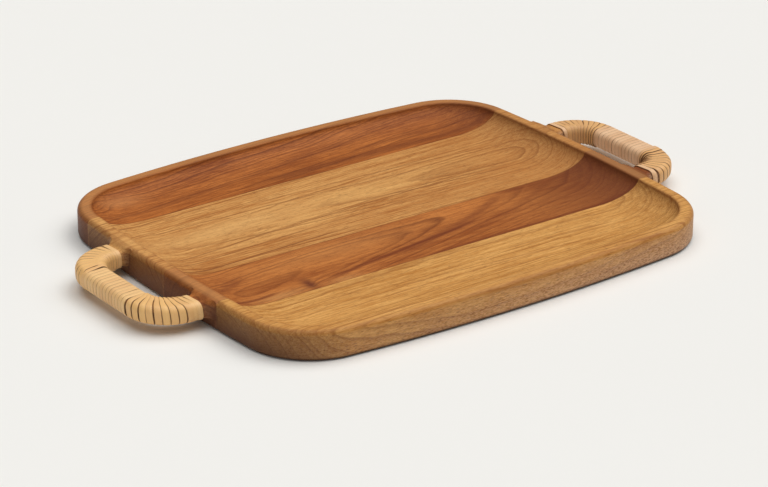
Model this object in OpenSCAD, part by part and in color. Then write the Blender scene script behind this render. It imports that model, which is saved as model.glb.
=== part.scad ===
// Serving tray: a dished board of four edge-glued staves, with a wooden handle at each end wound in cane.
// +X runs along the tray, +Y from its front to its back, and Z = 0 is the underside.

/* [Board] */
// Length over the two ends, without the handles
board_l = 400; // [320:1:500]
// Width over the two long sides
board_w = 336.5; // [270:0.5:420]
// Thickness of the board
board_t = 23.3; // [18:0.1:30]
// How far each long side bows out at its middle
side_bow = 12.6; // [4:0.1:18]
// How far each end bows out at its middle
end_bow = 8.3; // [4:0.1:14]
// Corner radius seen from above
corner_r = 56; // [35:1:75]
// Radius that rounds the upper outside edge
top_round = 4.2; // [1:0.1:5]
// Radius that rounds the lower outside edge
base_round = 4; // [1:0.1:5]

/* [Dish] */
// Depth of the dish's floor below the rim
dish_depth = 12.8; // [6:0.1:14]
// Width of the rim around the dish
rim_w = 11; // [8:0.5:16]
// Width of the cove that rises from the floor to the rim
cove_w = 38; // [15:1:45]
// Radius that softens the rim's inside edge
lip_round = 1.5; // [0.5:0.1:2.5]
// Corner radius of the floor seen from above
floor_corner_r = 14; // [5:1:30]

/* [Staves] */
// Glue line between the back stave and the wide stave, from the tray's middle
glue_back = 106; // [85:0.5:110]
// Glue line between the wide stave and the middle stave
glue_centre = -6; // [-20:0.5:20]
// Glue line between the middle stave and the front stave
glue_front = -72.5; // [-90:0.5:-50]

/* [Handles] */
// How far the wood of each handle stands out beyond the board's end
handle_reach = 46.2; // [42:0.1:60]
// Width of each handle over its two necks
handle_span = 128.6; // [110:0.1:150]
// Width of the grip's wood seen from above
grip_w = 19.8; // [15:0.1:24]
// Height of the grip's wood
grip_h = 12.6; // [10:0.1:16]
// How far the top of the grip's wood lies below the rim
grip_drop = 2.5; // [2.2:0.1:5]
// Radius that rounds the grip's edges
grip_round = 4.4; // [2:0.1:4.8]
// Bend radius along the grip's middle
bend_r = 25.4; // [18:0.1:30]
// Fillet between each neck's outer side and the board
outer_fillet = 10; // [4:0.5:14]
// Fillet between each neck's inner side and the board
inner_fillet = 6; // [2:0.5:8]
// How much higher each neck's top is where it runs into the board
neck_swell = 2.2; // [0:0.1:2.4]

/* [Cane] */
// Thickness of the cane
cane_t = 1; // [0.6:0.1:1.5]
// Width of the cane where it has room, on the outside of a bend
cane_w = 5.2; // [3:0.1:7]
// Spacing of the turns along the grip's middle
cane_pitch = 4.2; // [3:0.1:7]
// Bare wood left between the board's end and the first turn
bare_neck = 5; // [3:0.5:12]
// Clearance between the cane and the wood under it
cane_clear = 0.1; // [0.1:0.05:0.3]
// Clearance between neighbouring turns
turn_clear = 0.12; // [0.1:0.02:0.4]

/* [Brads] */
// Diameter of a brad's shank
brad_d = 1.2; // [0.8:0.1:2]
// Length of a brad's shank below its head
brad_l = 9; // [6:0.5:12]
// Diameter of a brad's head
brad_head_d = 2.8; // [2:0.1:3.6]
// Thickness of a brad's head
brad_head_t = 0.5; // [0.3:0.1:0.8]
// Clearance around a brad's shank
brad_clear = 0.05; // [0.03:0.01:0.1]

/* [Hidden] */
end_steps = 5;
corner_steps = 12;
side_steps = 6;
edge_steps = 4;
lip_steps = 2;
cove_steps = 8;
bend_steps = 12;
fillet_steps = 6;
section_points = 12;
slice_t = 0.05;
brad_spare = 0.5;
cutter = 1000;

// Outline: two flat arcs for the long sides, two for the ends, and a round corner that meets both
half_l = board_l / 2;
half_w = board_w / 2;
side_r = (half_l * half_l + side_bow * side_bow) / (2 * side_bow);
end_r = (half_w * half_w + end_bow * end_bow) / (2 * end_bow);
side_centre = [0, half_w - side_r];
end_centre = [half_l - end_r, 0];

// Grip: its middle runs out of the board, round a bend, along the bar, round a bend and back
neck_y = handle_span / 2 - grip_w / 2;
neck_x = end_x(neck_y + grip_w / 2 + outer_fillet);
bar_x = half_l + handle_reach - grip_w / 2;
grip_rise = board_t - grip_drop - grip_h / 2;
neck_l = bar_x - bend_r - neck_x;
bend_l = bend_r * PI / 2;
bar_l = 2 * (neck_y - bend_r);
route_l = 2 * neck_l + 2 * bend_l + bar_l;
root = rim_w / 2;

// Cane: whole turns share the length between the bare necks, and one more crossing of the bottom
wound_l = route_l - 2 * bare_neck;
flat_share = turn_share(1) / turn_share(section_points);
turns = floor(wound_l / cane_pitch - 1 - flat_share);
pitch = wound_l / (turns + 1 + flat_share);
first_turn = bare_neck + pitch / 2;
brad_seat = grip_rise - grip_h / 2 - cane_clear - cane_t;

// ---- Outline of the board -------------------------------------------------

function arc_point(centre, r, a) = centre + r * [cos(a), sin(a)];

// Where the board's end lies at a distance y from the tray's middle
function end_x(y) = end_centre.x + sqrt(end_r * end_r - y * y);

// Centre of a corner of radius r that touches a long side and an end, both set in by inset
function corner_centre(inset, r) =
    let (
        apart = end_centre - side_centre,
        d = norm(apart),
        a = side_r - inset - r,
        b = end_r - inset - r,
        along = (a * a - b * b + d * d) / (2 * d),
        off = sqrt(a * a - along * along),
        u = apart / d
    )
    side_centre + along * u + off * [u.y, -u.x];

// One quarter of the outline, from the end's middle to just before the long side's middle
function quarter(inset, r) =
    let (
        c = corner_centre(inset, r),
        to_end = c - end_centre,
        to_side = c - side_centre,
        a_end = atan2(to_end.y, to_end.x),
        a_side = atan2(to_side.y, to_side.x)
    )
    concat(
        [for (i = [0:end_steps - 1]) arc_point(end_centre, end_r - inset, a_end * i / end_steps)],
        [for (i = [0:corner_steps - 1]) arc_point(c, r, a_end + (a_side - a_end) * i / corner_steps)],
        [for (i = [0:side_steps]) arc_point(side_centre, side_r - inset, a_side + (90 - a_side) * i / side_steps)]
    );

// The closed outline, anticlockwise from the right-hand end's middle
function outline(inset, r) =
    let (q = quarter(inset, r), n = len(q))
    concat(
        q,
        [for (i = [n - 2:-1:0]) [-q[i].x, q[i].y]],
        [for (i = [1:n - 1]) -q[i]],
        [for (i = [n - 2:-1:1]) [q[i].x, -q[i].y]]
    );

function ring(inset, r, z) = [for (p = outline(inset, r)) [p.x, p.y, z]];

function outer_ring(inset, z) = ring(inset, corner_r - inset, z);

// ---- Surface stretched over a list of rings with equal counts of points ------

module skin(rings) {
    n = len(rings[0]);
    last = len(rings) - 1;
    polyhedron(
        points = [for (r = rings) each r],
        faces = concat(
            [[for (i = [0:n - 1]) i]],
            [
                for (k = [0:last - 1], i = [0:n - 1])
                    let (a = k * n + i, b = k * n + (i + 1) % n)
                    each [[a, a + n, b + n], [a, b + n, b]]
            ],
            [[for (i = [n - 1:-1:0]) last * n + i]]
        ),
        convexity = 6
    );
}

// ---- Board with its dish ------------------------------------------------------

// Each step is the ring's inset and height; the dish's rings tighten from the rim to the floor
module board() {
    lip_start = asin(lip_round / dish_depth);
    lip_inset = rim_w + cove_w * (1 - cos(lip_start));
    dish_corner_r = corner_r - rim_w;
    skin(concat(
        [
            for (i = [0:edge_steps])
                let (a = 90 * i / edge_steps)
                outer_ring(base_round * (1 - sin(a)), base_round * (1 - cos(a)))
        ],
        [
            for (i = [0:edge_steps])
                let (a = 90 * i / edge_steps)
                outer_ring(top_round * (1 - cos(a)), board_t - top_round * (1 - sin(a)))
        ],
        [
            for (i = [0:lip_steps - 1])
                let (a = 90 * i / lip_steps)
                outer_ring(lip_inset - lip_round * (1 - sin(a)), board_t - lip_round * (1 - cos(a)))
        ],
        [
            for (i = [0:cove_steps])
                let (
                    a = lip_start + (90 - lip_start) * i / cove_steps,
                    fall = 1 - cos(a),
                    r = dish_corner_r + (floor_corner_r - dish_corner_r) * fall
                )
                ring(rim_w + cove_w * fall, r, board_t - dish_depth * sin(a))
        ]
    ));
}

// ---- Grip: its route, its section and its wood ----------------------------------

// Place on the route at a distance s from the board: [x, y, heading]
function route(s) =
    s < neck_l ? [neck_x + s, neck_y, 0]
    : s < neck_l + bend_l
        ? let (a = (s - neck_l) / bend_r * 180 / PI)
            [bar_x - bend_r + bend_r * sin(a), neck_y - bend_r * (1 - cos(a)), -a]
    : s < neck_l + bend_l + bar_l ? [bar_x, neck_y - bend_r - (s - neck_l - bend_l), -90]
    : let (m = route(route_l - s)) [m.x, -m.y, -180 - m[2]];

// How far a fillet of radius r still stands out at a distance s from the board
function flare(s, r) =
    let (d = min(s, route_l - s))
    d >= r ? 0 : r - sqrt(r * r - pow(r - max(d, 0), 2));

// How much higher the grip's top still is at a distance s from the board, easing down from the rim
function swell(s) =
    let (d = min(max(min(s, route_l - s), 0) / inner_fillet, 1))
    neck_swell * (1 - d * d * (3 - 2 * d));

// Point on the grip at s: n reaches outwards and z upwards from the grip's middle
function on_grip(s, n, z) =
    let (p = route(s))
    [p.x - n * sin(p[2]), p.y + n * cos(p[2]), grip_rise + z];

// The grip's rounded section at s, grown outwards by grow: [n, z] for each of its 12 points, which
// run from the bottom's inner edge across the bottom, up the outside, over the top and down the inside
function section(s, grow) =
    let (
        inner = grip_w / 2 + flare(s, inner_fillet) - grip_round,
        outer = grip_w / 2 + flare(s, outer_fillet) - grip_round,
        low = grip_h / 2 - grip_round,
        tall = low + swell(s),
        corners = [[-inner, -low], [outer, -low], [outer, tall], [-inner, tall]]
    )
    [
        for (k = [2:section_points + 1])
            let (c = floor(k / 3), a = 180 + 90 * c + 45 * (k - 3 * c))
            arc_point(corners[c % 4], grip_round + grow, a)
    ];

function grip_ring(s) = [for (p = section(s, 0)) on_grip(s, p.x, p.y)];

module grip_slice(s) {
    skin([grip_ring(s), grip_ring(s + slice_t)]);
}

// Stations along half of the grip: close together on the fillet and round the bend
function half_stations() = concat(
    [-root],
    [for (i = [0:fillet_steps - 1]) outer_fillet * (1 - cos(90 * i / fillet_steps))],
    [for (i = [0:bend_steps]) neck_l + bend_l * i / bend_steps]
);

module grip() {
    h = half_stations();
    stations = concat(h, [for (i = [len(h) - 1:-1:0]) route_l - h[i]]);
    for (k = [1:len(stations) - 1])
        hull() {
            grip_slice(stations[k - 1]);
            grip_slice(stations[k]);
        }
}

// Both handles: the left one is the right one turned half round
module both_handles() {
    for (a = [0, 180])
        rotate(a) children();
}

// ---- Cane: one strip wound from neck to neck, and the brads that hold its ends -----

// Share of a turn that is done at each of the section's points
function turn_share(k) =
    let (p = section(route_l / 2, 0), n = len(p))
    k == 0 ? 0 : turn_share(k - 1) + norm(p[k % n] - p[k - 1]);

// How far the cane reaches along the route on each side of its middle, at a distance n out from it
function half_cane(s, n) =
    let (bent = s > neck_l && s < route_l - neck_l && abs(s - route_l / 2) > bar_l / 2)
    min((pitch - turn_clear) / 2, cane_w / 2 / (bent ? 1 + n / bend_r : 1));

// Four corners of the cane where it crosses point k of the section, t turns from its start
function cane_ring(t, k) =
    let (
        s = first_turn + pitch * t,
        h = half_cane(s, section(s, cane_clear)[k].x),
        inner = cane_clear,
        outer = cane_clear + cane_t
    )
    [
        for (c = [[s - h, inner], [s + h, inner], [s + h, outer], [s - h, outer]])
            let (p = section(c[0], c[1])[k])
            on_grip(c[0], p.x, p.y)
    ];

module cane_strip() {
    shares = [for (k = [0:section_points]) turn_share(k) / turn_share(section_points)];
    rings = [
        for (i = [0:turns * section_points + 1])
            let (k = i % section_points)
            cane_ring((i - k) / section_points + shares[k], k)
    ];
    skin(rings);
}

module at_brads() {
    for (t = [0, turns])
        translate([0, 0, brad_seat - grip_rise])
            translate(on_grip(first_turn + pitch * (t + flat_share / 2), 0, 0))
                children();
}

module brad_hole(depth) {
    translate([0, 0, -cane_t])
        cylinder(h = depth + cane_t, d = brad_d + 2 * brad_clear, $fn = 24);
}

module brad() {
    cylinder(h = brad_l, d = brad_d, $fn = 24);
    translate([0, 0, -brad_head_t])
        cylinder(h = brad_head_t, d = brad_head_d, $fn = 24);
}

// ---- Sub-parts ------------------------------------------------------------------------

// The glued panel once it has been cut, dished and drilled, before it is told apart into staves
module blank() {
    difference() {
        union() {
            board();
            both_handles() grip();
        }
        both_handles() at_brads() brad_hole(brad_l + brad_spare);
    }
}

module stave(from_y, to_y) {
    intersection() {
        blank();
        translate([-cutter / 2, from_y, -cutter / 2])
            cube([cutter, to_y - from_y, cutter]);
    }
}

module back_stave() {
    color("sienna") stave(glue_back, cutter / 2);
}

module wide_stave() {
    color("peru") stave(glue_centre, glue_back);
}

module middle_stave() {
    color("saddlebrown") stave(glue_front, glue_centre);
}

module front_stave() {
    color("peru") stave(-cutter / 2, glue_front);
}

module cane_wrap() {
    color("burlywood")
        difference() {
            cane_strip();
            at_brads() brad_hole(brad_l);
        }
}

module right_cane_wrap() {
    cane_wrap();
}

module left_cane_wrap() {
    rotate(180) cane_wrap();
}

module cane_brads() {
    color("darkgoldenrod") both_handles() at_brads() brad();
}

back_stave();
wide_stave();
middle_stave();
front_stave();
left_cane_wrap();
right_cane_wrap();
cane_brads();
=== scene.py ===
"""Serving tray of four glued staves with cane-wound handles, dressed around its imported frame."""

import math

import bpy
import numpy as np
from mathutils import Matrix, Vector


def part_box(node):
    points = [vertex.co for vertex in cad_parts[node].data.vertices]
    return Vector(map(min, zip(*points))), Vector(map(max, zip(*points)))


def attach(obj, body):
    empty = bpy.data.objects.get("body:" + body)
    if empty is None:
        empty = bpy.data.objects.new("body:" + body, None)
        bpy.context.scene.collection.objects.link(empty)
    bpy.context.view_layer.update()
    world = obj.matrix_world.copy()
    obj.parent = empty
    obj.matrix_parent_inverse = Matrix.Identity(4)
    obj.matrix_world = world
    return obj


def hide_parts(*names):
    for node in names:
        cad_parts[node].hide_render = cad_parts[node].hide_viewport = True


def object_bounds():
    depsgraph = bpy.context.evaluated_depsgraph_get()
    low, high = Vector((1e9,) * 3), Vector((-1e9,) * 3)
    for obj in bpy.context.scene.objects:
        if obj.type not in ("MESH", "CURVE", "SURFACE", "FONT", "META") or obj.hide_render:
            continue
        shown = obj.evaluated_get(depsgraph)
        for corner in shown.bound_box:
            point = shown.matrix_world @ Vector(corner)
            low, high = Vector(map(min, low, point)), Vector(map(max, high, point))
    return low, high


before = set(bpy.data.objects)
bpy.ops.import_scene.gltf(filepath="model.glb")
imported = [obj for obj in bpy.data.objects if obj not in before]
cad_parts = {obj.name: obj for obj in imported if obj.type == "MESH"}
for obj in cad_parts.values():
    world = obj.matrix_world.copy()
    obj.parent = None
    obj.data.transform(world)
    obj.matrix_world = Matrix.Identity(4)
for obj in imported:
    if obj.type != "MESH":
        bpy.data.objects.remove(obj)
CAD_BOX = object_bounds()

# ---- Sizes of the tray, in millimetres, the same as the frame's ----

MM = 0.001

HALF_L = 200.0
HALF_W = CAD_BOX[1][1] / MM
BOARD_T = CAD_BOX[1][2] / MM
SIDE_BOW = 12.6
END_BOW = 8.3
CORNER_R = 56.0
TOP_ROUND = 4.2
BASE_ROUND = 4.0

DISH_DEPTH = 12.8
RIM_W = 11.0
COVE_W = 38.0
LIP_ROUND = 1.5
FLOOR_CORNER_R = 14.0

GLUE_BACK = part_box("wide_stave")[1][1] / MM
GLUE_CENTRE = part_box("wide_stave")[0][1] / MM
GLUE_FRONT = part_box("middle_stave")[0][1] / MM

HANDLE_REACH = 46.2
HANDLE_SPAN = 128.6
GRIP_W = 19.8
GRIP_H = 12.6
GRIP_DROP = 2.5
GRIP_ROUND = 4.4
BEND_R = 25.4
OUTER_FILLET = 10.0
INNER_FILLET = 6.0
NECK_SWELL = 2.2

CANE_T = 1.0
CANE_PLAY = 0.08
CANE_W = 5.55
RIGHT_CANE_W = 5.2
CANE_PITCH = 4.2
BARE_NECK = 5.0
CANE_CLEAR = 0.1
RIGHT_BARE_NECK = 6.5
BRAD_D = 1.2
BRAD_L = 9.0
BRAD_HEAD_D = 2.8
BRAD_HEAD_T = 0.5

# ---- Sizes that follow from them ----

SIDE_R = (HALF_L ** 2 + SIDE_BOW ** 2) / (2 * SIDE_BOW)
END_R = (HALF_W ** 2 + END_BOW ** 2) / (2 * END_BOW)
SIDE_CENTRE = np.array([0.0, HALF_W - SIDE_R])
END_CENTRE = np.array([HALF_L - END_R, 0.0])
DISH_CORNER_R = CORNER_R - RIM_W
LIP_START = math.asin(LIP_ROUND / DISH_DEPTH)
LIP_INSET = RIM_W + COVE_W * (1 - math.cos(LIP_START))

NECK_Y = (HANDLE_SPAN - GRIP_W) / 2
NECK_REACH_Y = NECK_Y + GRIP_W / 2 + OUTER_FILLET
NECK_X = END_CENTRE[0] + math.sqrt(END_R ** 2 - NECK_REACH_Y ** 2)
BAR_X = HALF_L + HANDLE_REACH - GRIP_W / 2
GRIP_RISE = BOARD_T - GRIP_DROP - GRIP_H / 2
NECK_L = BAR_X - BEND_R - NECK_X
BEND_L = BEND_R * math.pi / 2
BAR_L = 2 * (NECK_Y - BEND_R)
ROUTE_L = 2 * (NECK_L + BEND_L) + BAR_L
ROOT_L = RIM_W / 2

FLAT_W = GRIP_W - 2 * GRIP_ROUND
FLAT_H = GRIP_H - 2 * GRIP_ROUND
SECTION_L = 2 * (FLAT_W + FLAT_H + math.pi * GRIP_ROUND)
FLAT_SHARE = FLAT_W / SECTION_L
WOUND_L = ROUTE_L - 2 * BARE_NECK
TURNS = math.floor(WOUND_L / CANE_PITCH - 1 - FLAT_SHARE)


# ---- Node trees: short calls for the steps that every pattern is made of ----

class Web:
    """One node tree, and the calls that add linked nodes to it."""

    def __init__(self, tree):
        self.tree = tree

    def node(self, kind, **settings):
        made = self.tree.nodes.new(kind)
        for name, value in settings.items():
            setattr(made, name, value)
        return made

    def feed(self, socket, value):
        if isinstance(value, bpy.types.NodeSocket):
            self.tree.links.new(value, socket)
        else:
            socket.default_value = value

    def math(self, operation, *values):
        made = self.node("ShaderNodeMath", operation=operation)
        for socket, value in zip(made.inputs, values):
            self.feed(socket, value)
        return made.outputs[0]

    def add(self, *values):
        total = values[0]
        for value in values[1:]:
            total = self.math("ADD", total, value)
        return total

    def times(self, *values):
        product = values[0]
        for value in values[1:]:
            product = self.math("MULTIPLY", product, value)
        return product

    def less(self, a, b):
        return self.math("SUBTRACT", a, b)

    def over(self, a, b):
        return self.math("DIVIDE", a, b)

    def span(self, value, low, high, to_low=0.0, to_high=1.0, smooth=False):
        made = self.node("ShaderNodeMapRange")
        made.interpolation_type = "SMOOTHSTEP" if smooth else "LINEAR"
        for socket, given in zip(made.inputs, (value, low, high, to_low, to_high)):
            self.feed(socket, given)
        return made.outputs[0]

    def vector(self, operation, a, b=None, scale=None):
        made = self.node("ShaderNodeVectorMath", operation=operation)
        self.feed(made.inputs[0], a)
        if b is not None:
            self.feed(made.inputs[1], b)
        if scale is not None:
            self.feed(made.inputs["Scale"], scale)
        return made.outputs[0]

    def stretch(self, place, rates):
        return self.vector("MULTIPLY", place, rates)

    def split(self, vector):
        made = self.node("ShaderNodeSeparateXYZ")
        self.feed(made.inputs[0], vector)
        return made.outputs

    def join(self, x, y, z):
        made = self.node("ShaderNodeCombineXYZ")
        for socket, value in zip(made.inputs, (x, y, z)):
            self.feed(socket, value)
        return made.outputs[0]

    def noise(self, vector, detail=2.0, roughness=0.5):
        made = self.node("ShaderNodeTexNoise")
        self.feed(made.inputs["Vector"], vector)
        made.inputs["Scale"].default_value = 1.0
        made.inputs["Detail"].default_value = detail
        made.inputs["Roughness"].default_value = roughness
        made.inputs["Distortion"].default_value = 0.0
        return made.outputs[0]

    def noise_line(self, value, detail=1.0):
        made = self.node("ShaderNodeTexNoise", noise_dimensions="1D")
        self.feed(made.inputs["W"], value)
        made.inputs["Scale"].default_value = 1.0
        made.inputs["Detail"].default_value = detail
        return made.outputs[0]

    def read(self, label):
        return self.node("ShaderNodeAttribute", attribute_name=label).outputs["Fac"]

    def relief(self, shader, height, strength, distance):
        bump = self.node("ShaderNodeBump")
        bump.inputs["Strength"].default_value = strength
        bump.inputs["Distance"].default_value = distance
        self.feed(bump.inputs["Height"], height)
        self.feed(shader.inputs["Normal"], bump.outputs[0])

    def coat(self, geometry, finish, result):
        real = self.node("GeometryNodeRealizeInstances")
        self.feed(real.inputs[0], geometry)
        coat = self.node("GeometryNodeSetMaterial")
        self.feed(coat.inputs["Geometry"], real.outputs[0])
        self.feed(coat.inputs["Material"], finish)
        self.feed(result, coat.outputs[0])

    def blend(self, share, a, b):
        made = self.node("ShaderNodeMix", data_type="RGBA")
        self.feed(made.inputs[0], share)
        self.feed(made.inputs[6], a)
        self.feed(made.inputs[7], b)
        return made.outputs[2]

    def group(self, tree, **values):
        made = self.node("ShaderNodeGroup")
        made.node_tree = tree
        for name, value in values.items():
            self.feed(made.inputs[name.replace("_", " ").title()], value)
        return made.outputs


def new_group(name, kind, takes, gives):
    """An empty node group: the web to build it in, what it is given and what it returns."""
    tree = bpy.data.node_groups.new(name, kind)
    for way, sockets in (("INPUT", takes), ("OUTPUT", gives)):
        for label, held in sockets.items():
            sort, start = held if isinstance(held, tuple) else ("Float", held)
            made = tree.interface.new_socket(label, in_out=way, socket_type="NodeSocket" + sort)
            if start is not None:
                made.default_value = start
    given = tree.nodes.new("NodeGroupInput")
    result = tree.nodes.new("NodeGroupOutput")
    return Web(tree), given.outputs, result.inputs


def placed(name, data):
    """A new object in the scene that holds the given data."""
    made = bpy.data.objects.new(name, data)
    bpy.context.scene.collection.objects.link(made)
    return made


def paint(red, green, blue):
    """A colour given as it looks on a screen, 0 to 255, as the light that it sends back."""
    shares = [value / 255 for value in (red, green, blue)]
    return [s / 12.92 if s < 0.04045 else ((s + 0.055) / 1.055) ** 2.4 for s in shares] + [1.0]


# ---- Effects that several finishes share ----

def plank_grain():
    """Grain of a sawn stave: growth rings round a pith that nears the face, fibres, pores and clouds."""
    web, given, result = new_group(
        "plank_grain",
        "ShaderNodeTree",
        {
            "Vector": ("Vector", None),
            "Pith Y": 0.0,
            "Pith Depth": 30.0,
            "Pith Drift": 0.0,
            "Near X": 0.0,
            "Rise": 0.05,
            "Ring Width": 2.4,
            "Waver": 3.0,
            "Push": 0.0,
            "Seed": 0.0,
        },
        {
            "Rings": None,
            "Fibres": None,
            "Pores": None,
            "Clouds": None,
            "Height": None,
        },
    )
    place = web.vector("SCALE", given["Vector"], scale=1 / MM)
    seed = given["Seed"]
    shift = web.join(web.times(seed, 37.0), web.times(seed, 211.0), web.times(seed, 59.0))
    moved = web.vector("ADD", place, shift)
    x, y, z = web.split(place)[:3]

    bent = web.noise(web.stretch(moved, (0.009, 0.028, 0.028)), detail=2.0)
    waver = web.times(web.less(bent, 0.5), given["Waver"], 2.0)
    ripple = web.noise(web.stretch(moved, (0.045, 0.12, 0.12)), detail=1.0)
    ripple = web.times(web.less(ripple, 0.5), 1.6)

    off_side = web.less(web.less(y, given["Pith Y"]), web.times(x, given["Pith Drift"]))
    off_side = web.add(off_side, waver)
    along = web.less(x, given["Near X"])
    far = web.less(web.math("SQRT", web.add(web.times(along, along), 1600.0)), 40.0)
    depth = web.add(given["Pith Depth"], web.times(far, given["Rise"]), z, -BOARD_T / 2)
    radius = web.math("SQRT", web.add(web.times(off_side, off_side), web.times(depth, depth)))
    radius = web.add(radius, given["Push"], ripple)

    uneven = web.noise_line(web.times(radius, 0.11), detail=1.0)
    count = web.add(web.over(radius, given["Ring Width"]), web.times(uneven, 2.4))
    part = web.math("FRACT", count)
    late = web.times(web.math("POWER", part, 3.0), web.span(part, 0.86, 1.0, 1.0, 0.0))
    bold = web.noise_line(web.times(web.math("FLOOR", count), 3.7), detail=0.0)
    rings = web.times(late, web.span(bold, 0.3, 0.7, 0.3, 1.6))

    streaks = web.noise(web.stretch(moved, (0.016, 0.34, 0.34)), detail=3.0, roughness=0.6)
    threads = web.noise(web.stretch(moved, (0.075, 1.0, 1.0)), detail=3.0, roughness=0.7)
    fibres = web.add(
        web.times(web.span(streaks, 0.36, 0.64), 0.45),
        web.times(web.span(threads, 0.36, 0.64), 0.55),
    )
    dashes = web.noise(web.stretch(moved, (0.2, 1.7, 1.7)), detail=1.0)
    pores = web.span(dashes, 0.58, 0.68, smooth=True)
    clouds = web.span(web.noise(web.stretch(moved, (0.011, 0.03, 0.03)), detail=2.0), 0.3, 0.7)

    height = web.less(web.times(fibres, 0.5), web.times(pores, 0.45))
    height = web.less(height, web.times(rings, 0.15))
    for name, value in (
        ("Rings", rings), ("Fibres", fibres), ("Pores", pores), ("Clouds", clouds), ("Height", height)
    ):
        web.feed(result[name], value)
    return web.tree


def grain_eye():
    """Soft oval mask round a place on the face, for a knot or a closed ring figure."""
    web, given, result = new_group(
        "grain_eye",
        "ShaderNodeTree",
        {
            "Vector": ("Vector", None),
            "At X": 0.0,
            "At Y": 0.0,
            "Half Length": 20.0,
            "Half Width": 8.0,
        },
        {"Mask": None},
    )
    place = web.vector("SCALE", given["Vector"], scale=1 / MM)
    x, y = web.split(place)[:2]
    along = web.over(web.less(x, given["At X"]), given["Half Length"])
    across = web.over(web.less(y, given["At Y"]), given["Half Width"])
    gone = web.add(web.times(along, along), web.times(across, across))
    web.feed(result["Mask"], web.math("EXPONENT", web.times(gone, -1.0)))
    return web.tree


def grain_streak():
    """Mask of a long streak between two places on the face, wavering and feathered along its edges."""
    web, given, result = new_group(
        "grain_streak",
        "ShaderNodeTree",
        {
            "Vector": ("Vector", None),
            "From X": 0.0,
            "From Y": 0.0,
            "To X": 100.0,
            "To Y": 0.0,
            "Half Width": 3.0,
            "Waver": 3.0,
            "Bow": 0.0,
        },
        {"Mask": None},
    )
    place = web.vector("SCALE", given["Vector"], scale=1 / MM)
    x, y = web.split(place)[:2]
    reach_x = web.less(given["To X"], given["From X"])
    reach_y = web.less(given["To Y"], given["From Y"])
    share = web.over(web.less(x, given["From X"]), reach_x)
    inside = web.math("MINIMUM", web.span(share, -0.08, 0.12, smooth=True),
                      web.span(share, 1.1, 0.85, smooth=True))
    bowed = web.times(share, web.less(1.0, share), 4.0, given["Bow"])
    middle = web.add(given["From Y"], web.times(share, reach_y), bowed)
    bent = web.noise(web.stretch(place, (0.02, 0.06, 0.06)), detail=2.0)
    off = web.add(web.less(y, middle), web.times(web.less(bent, 0.5), given["Waver"]))
    ragged = web.noise(web.stretch(place, (0.03, 0.7, 0.7)), detail=2.0)
    width = web.times(given["Half Width"], web.span(ragged, 0.2, 0.8, 0.4, 1.6))
    gone = web.over(web.math("ABSOLUTE", off), width)
    web.feed(result["Mask"], web.times(web.span(gone, 0.15, 1.6, 1.0, 0.0, smooth=True), inside))
    return web.tree


def glue_line():
    """Thin mask beside a straight glue joint that runs the tray's length."""
    web, given, result = new_group(
        "glue_line",
        "ShaderNodeTree",
        {"Vector": ("Vector", None), "At Y": 0.0, "Half Width": 0.4},
        {"Mask": None},
    )
    y = web.times(web.split(given["Vector"])[1], 1 / MM)
    off = web.math("ABSOLUTE", web.less(y, given["At Y"]))
    broken = web.noise(web.stretch(given["Vector"], (30.0, 300.0, 300.0)), detail=2.0)
    mask = web.span(off, web.times(given["Half Width"], 0.3), given["Half Width"], 1.0, 0.0, smooth=True)
    web.feed(result["Mask"], web.times(mask, web.span(broken, 0.3, 0.6, 0.35, 1.0)))
    return web.tree


def oiled_wear():
    """Handled edges and faint rubs: how far the surface is polished, as a mask that the wood also uses for
    painted shade on its edges, and its roughness.
    """
    web, given, result = new_group(
        "oiled_wear",
        "ShaderNodeTree",
        {"Vector": ("Vector", None), "Edge": 0.0, "Gloss": 0.45},
        {"Worn": None, "Roughness": None},
    )
    patches = web.noise(web.stretch(given["Vector"], (26.0, 40.0, 40.0)), detail=3.0)
    fine = web.noise(web.stretch(given["Vector"], (240.0, 900.0, 900.0)), detail=2.0)
    wear_and_shade = web.times(given["Edge"], web.span(patches, 0.3, 0.7, 0.5, 1.0))
    rough = web.add(given["Gloss"], web.times(web.less(patches, 0.5), 0.12),
                    web.times(web.less(fine, 0.5), 0.10), web.times(wear_and_shade, -0.05))
    web.feed(result["Worn"], wear_and_shade)
    web.feed(result["Roughness"], rough)
    return web.tree


PLANK_GRAIN = plank_grain()
GRAIN_EYE = grain_eye()
GRAIN_STREAK = grain_streak()
GLUE_LINE = glue_line()
OILED_WEAR_AND_SHADE = oiled_wear()


# ---- Wood finishes ----

def new_finish(name):
    """A material with its shader, the web to build it in, and the piece's own coordinates."""
    finish = bpy.data.materials.new(name)
    finish.use_nodes = True
    finish.node_tree.nodes.clear()
    web = Web(finish.node_tree)
    shader = web.node("ShaderNodeBsdfPrincipled")
    web.feed(web.node("ShaderNodeOutputMaterial").inputs["Surface"], shader.outputs[0])
    place = web.node("ShaderNodeTexCoord").outputs["Object"]
    return finish, web, shader, place


def masks(web, tree, place, rows):
    """One mask socket for each row of values, in the order of the mask group's inputs after the place."""
    labels = [s.name for s in tree.interface.items_tree if s.in_out == "INPUT" and s.name != "Vector"]
    return [web.group(tree, vector=place, **dict(zip(labels, row)))["Mask"] for row in rows]


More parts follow.
